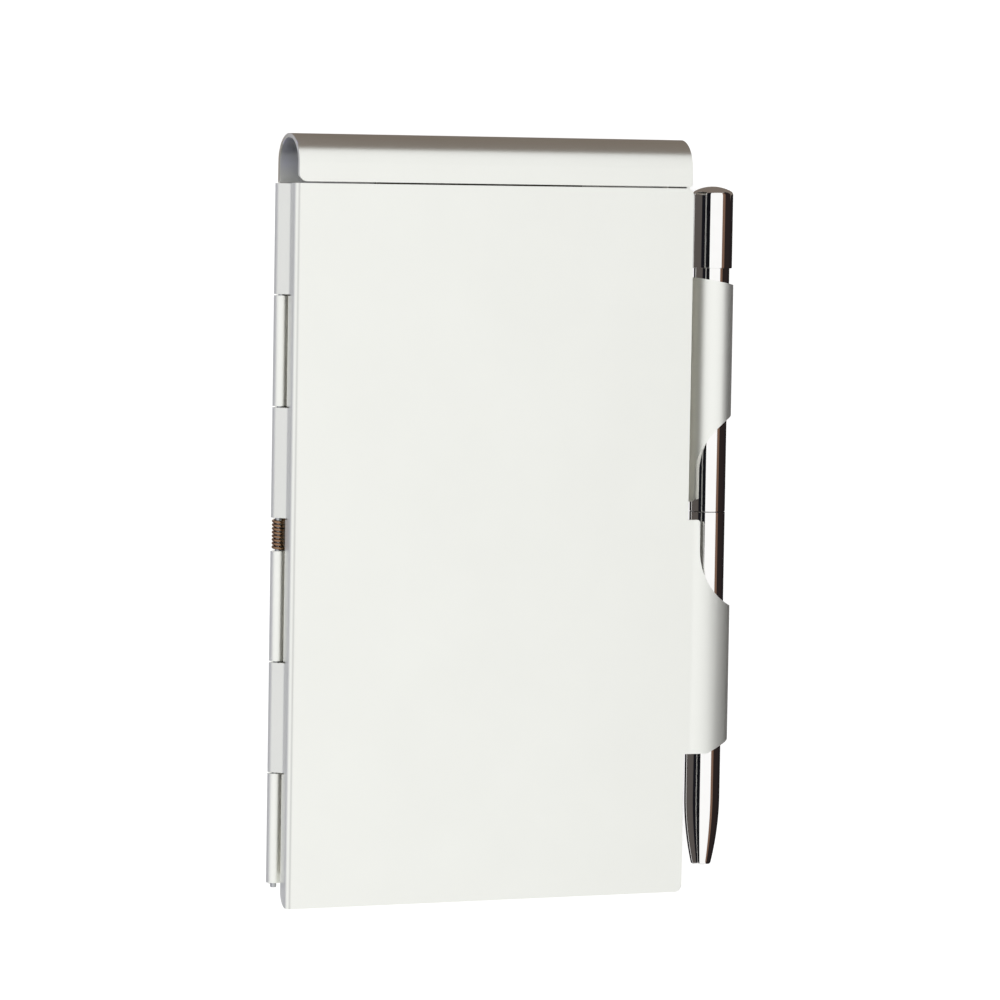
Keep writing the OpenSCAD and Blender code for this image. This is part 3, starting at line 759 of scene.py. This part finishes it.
def card(name, low, high, colour, mirrors_only=False, strength=1.0):
    """A card that glows in its own colour, which only reflections see, or only mirrors, and that
    takes no light away.
    """
    material = empty_material(name + "_board")
    tree = material.node_tree
    look = add(tree, "ShaderNodeEmission", {"Color": linear(colour), "Strength": strength})
    if mirrors_only:
        mirrored = add(tree, "ShaderNodeLightPath").outputs["Is Singular Ray"]
        clear = add(tree, "ShaderNodeBsdfTransparent")
        look = add(tree, "ShaderNodeMixShader",
                   {0: mirrored, 1: clear.outputs[0], 2: look.outputs[0]})
    add(tree, "ShaderNodeOutputMaterial", {"Surface": look.outputs[0]})
    material.cycles.emission_sampling = "NONE"
    piece = board(name, low, high, material)
    piece.visible_camera = piece.visible_diffuse = piece.visible_transmission = False
    piece.visible_volume_scatter = piece.visible_shadow = False


# Angles from straight ahead, as seen from the pen: the right cards reach forward to the first, and
# the near card lies between the other two
FRONT_RIGHT_DEG = 32
DARK_LEFT_DEG = (40, 63)
# The large cards' left, lower and upper ends, and their foot, which is a little above the ground
CARD_X0 = -400
CARD_Y0, CARD_Y1 = -260, 400
CARD_Z = -0.1
SIDE_X = PEN_X + 220
# The lower right card takes this share of the height of both
SIDE_SPLIT = 0.55
# The top card stands up the case from the roll and rises this much for each millimetre of the way
ROLL_TOP_Y = 136
TOP_CARD_Y = ROLL_TOP_Y + 260
TOP_SLOPE = 0.68
# The ground cards begin and end here, beside the hinge and beside the cover
HINGE_SIDE_X = -2.2
COVER_SIDE_X = COVER_W + 0.2
NEAR_CARD_Z = 95
NEAR_CARD_Y0, NEAR_CARD_Y1 = -150, 330
# A glowing card across the roll's open left end, seen only in reflections, which paints lavender
# light on the roll's inside
ROLL_CARD_X = 0.7
ROLL_CARD_Y0, ROLL_CARD_Y1 = COVER_H + 2.5, COVER_H + 7.5
ROLL_CARD_Z0, ROLL_CARD_Z1 = 2.0, CASE_T - 1.0
ROLL_CARD_STRENGTH = 0.9
# Dark cards that only mirrors see, between the case and the pen, from the back's sheet to the
# cover's:
# painted shade of the case's side in the pen's reflection
FLAG_X = COVER_W + 0.1
FLAG_Y1 = COVER_H - 1
FLAG_Z0, FLAG_SPLIT_Z, FLAG_Z1 = 0.8, 7.4, CASE_T - SHEET_T - 0.1


def cards():
    """Dark cards right, at the top and on the ground, and a glowing lavender one in the roll's end.

    Mirrors also see a brown one high on the right, a near one to the left, and two dark ones by the
    pen, which paint the shade of the case's side into its reflection.
    """
    side_top = (SIDE_X - PEN_X) / math.tan(math.radians(FRONT_RIGHT_DEG)) + PEN_Z
    side_mid = side_top * SIDE_SPLIT
    top_z = TOP_SLOPE * (TOP_CARD_Y - ROLL_TOP_Y) + CASE_T
    rise = NEAR_CARD_Z - PEN_Z - BARREL_R
    near_x = [PEN_X - rise * math.tan(math.radians(a)) for a in DARK_LEFT_DEG]
    card("right_card_low", (SIDE_X, CARD_Y0, CARD_Z), (SIDE_X, CARD_Y1, side_mid), "#2a2322")
    card("right_card_high", (SIDE_X, CARD_Y0, side_mid), (SIDE_X, CARD_Y1, side_top), "#7a5f50",
         mirrors_only=True)
    card("top_card", (CARD_X0, TOP_CARD_Y, CARD_Z), (SIDE_X, TOP_CARD_Y, top_z), "#7a7068")
    card("ground_right", (COVER_SIDE_X, CARD_Y0, CARD_Z), (SIDE_X, COVER_H, CARD_Z), "#241f20")
    card("ground_top", (HINGE_SIDE_X, COVER_H, CARD_Z), (SIDE_X, TOP_CARD_Y, CARD_Z), "#7a7068")
    card("ground_left", (CARD_X0, CARD_Y0, CARD_Z), (HINGE_SIDE_X, TOP_CARD_Y, CARD_Z),
         "#a4a4ae")
    card("near_card", (near_x[0], NEAR_CARD_Y0, NEAR_CARD_Z),
         (near_x[1], NEAR_CARD_Y1, NEAR_CARD_Z), "#121216", mirrors_only=True)
    card("roll_glow_card", (ROLL_CARD_X, ROLL_CARD_Y0, ROLL_CARD_Z0),
         (ROLL_CARD_X, ROLL_CARD_Y1, ROLL_CARD_Z1), "#c4c5f6", strength=ROLL_CARD_STRENGTH)
    card("pen_painted_shade_low", (FLAG_X, 0, FLAG_Z0), (FLAG_X, FLAG_Y1, FLAG_SPLIT_Z), "#57524f",
         mirrors_only=True)
    card("pen_painted_shade_high", (FLAG_X, 0, FLAG_SPLIT_Z), (FLAG_X, FLAG_Y1, FLAG_Z1), "#17171c",
         mirrors_only=True)


# The studio's light by azimuth in degrees, left of the object's front being positive
LIGHT_BY_AZIMUTH = ((-180, "#45454c"), (-70, "#554f4a"), (-48, "#ebebe9"), (46, "#e8e8e6"),
                    (58, "#ffffff"), (108, "#ffffff"), (122, "#74768a"), (150, "#404248"))
LIGHT_STRENGTH = 1.4
# Between these heights of the unit direction the light falls to OVERHEAD_SHARE of itself
OVERHEAD_DIM = (0.72, 0.92)
OVERHEAD_SHARE = 0.12


def studio_world():
    """White for the background rays, and for the rest a light that differs round about.

    It is broad and bright from the front and left, and dim to the right, behind and overhead.
    """
    world = bpy.data.worlds.new("studio")
    bpy.context.scene.world = world
    world.use_nodes = True
    tree = world.node_tree
    tree.nodes.clear()
    direction = add(tree, "ShaderNodeTexCoord").outputs["Generated"]
    parts = add(tree, "ShaderNodeSeparateXYZ", {"Vector": direction}).outputs
    left = add(tree, "ShaderNodeMath", {0: parts["X"], 1: -1.0}, operation="MULTIPLY")
    azimuth = add(tree, "ShaderNodeMath", {0: left.outputs[0], 1: parts["Z"]},
                  operation="ARCTAN2")
    turn = add(tree, "ShaderNodeMapRange",
               {"Value": azimuth.outputs[0], "From Min": -math.pi, "From Max": math.pi})
    round_about = add(tree, "ShaderNodeValToRGB", {"Fac": turn.outputs[0]})
    stops = round_about.color_ramp.elements
    while len(stops) < len(LIGHT_BY_AZIMUTH):
        stops.new(0.5)
    for stop, (degrees, colour) in zip(stops, LIGHT_BY_AZIMUTH):
        stop.position = (degrees + 180) / 360
        stop.color = linear(colour)
    overhead = add(tree, "ShaderNodeMapRange",
                   {"Value": parts["Y"], "From Min": OVERHEAD_DIM[0], "From Max": OVERHEAD_DIM[1],
                    "To Min": LIGHT_STRENGTH, "To Max": OVERHEAD_SHARE * LIGHT_STRENGTH},
                   interpolation_type="SMOOTHSTEP")
    seen = background_rays(tree)
    colour = add(tree, "ShaderNodeMix", {"Factor": seen, "A": round_about.outputs["Color"],
                                         "B": linear("#ffffff")}, data_type="RGBA")
    strength = add(tree, "ShaderNodeMix", {"Factor": seen, 2: overhead.outputs[0], 3: 1.0})
    back = add(tree, "ShaderNodeBackground",
               {"Color": colour.outputs["Result"], "Strength": strength.outputs[0]})
    add(tree, "ShaderNodeOutputWorld", {"Surface": back.outputs[0]})


white_ground()
cards()
studio_world()

bpy.context.scene.view_settings.view_transform = "Standard"
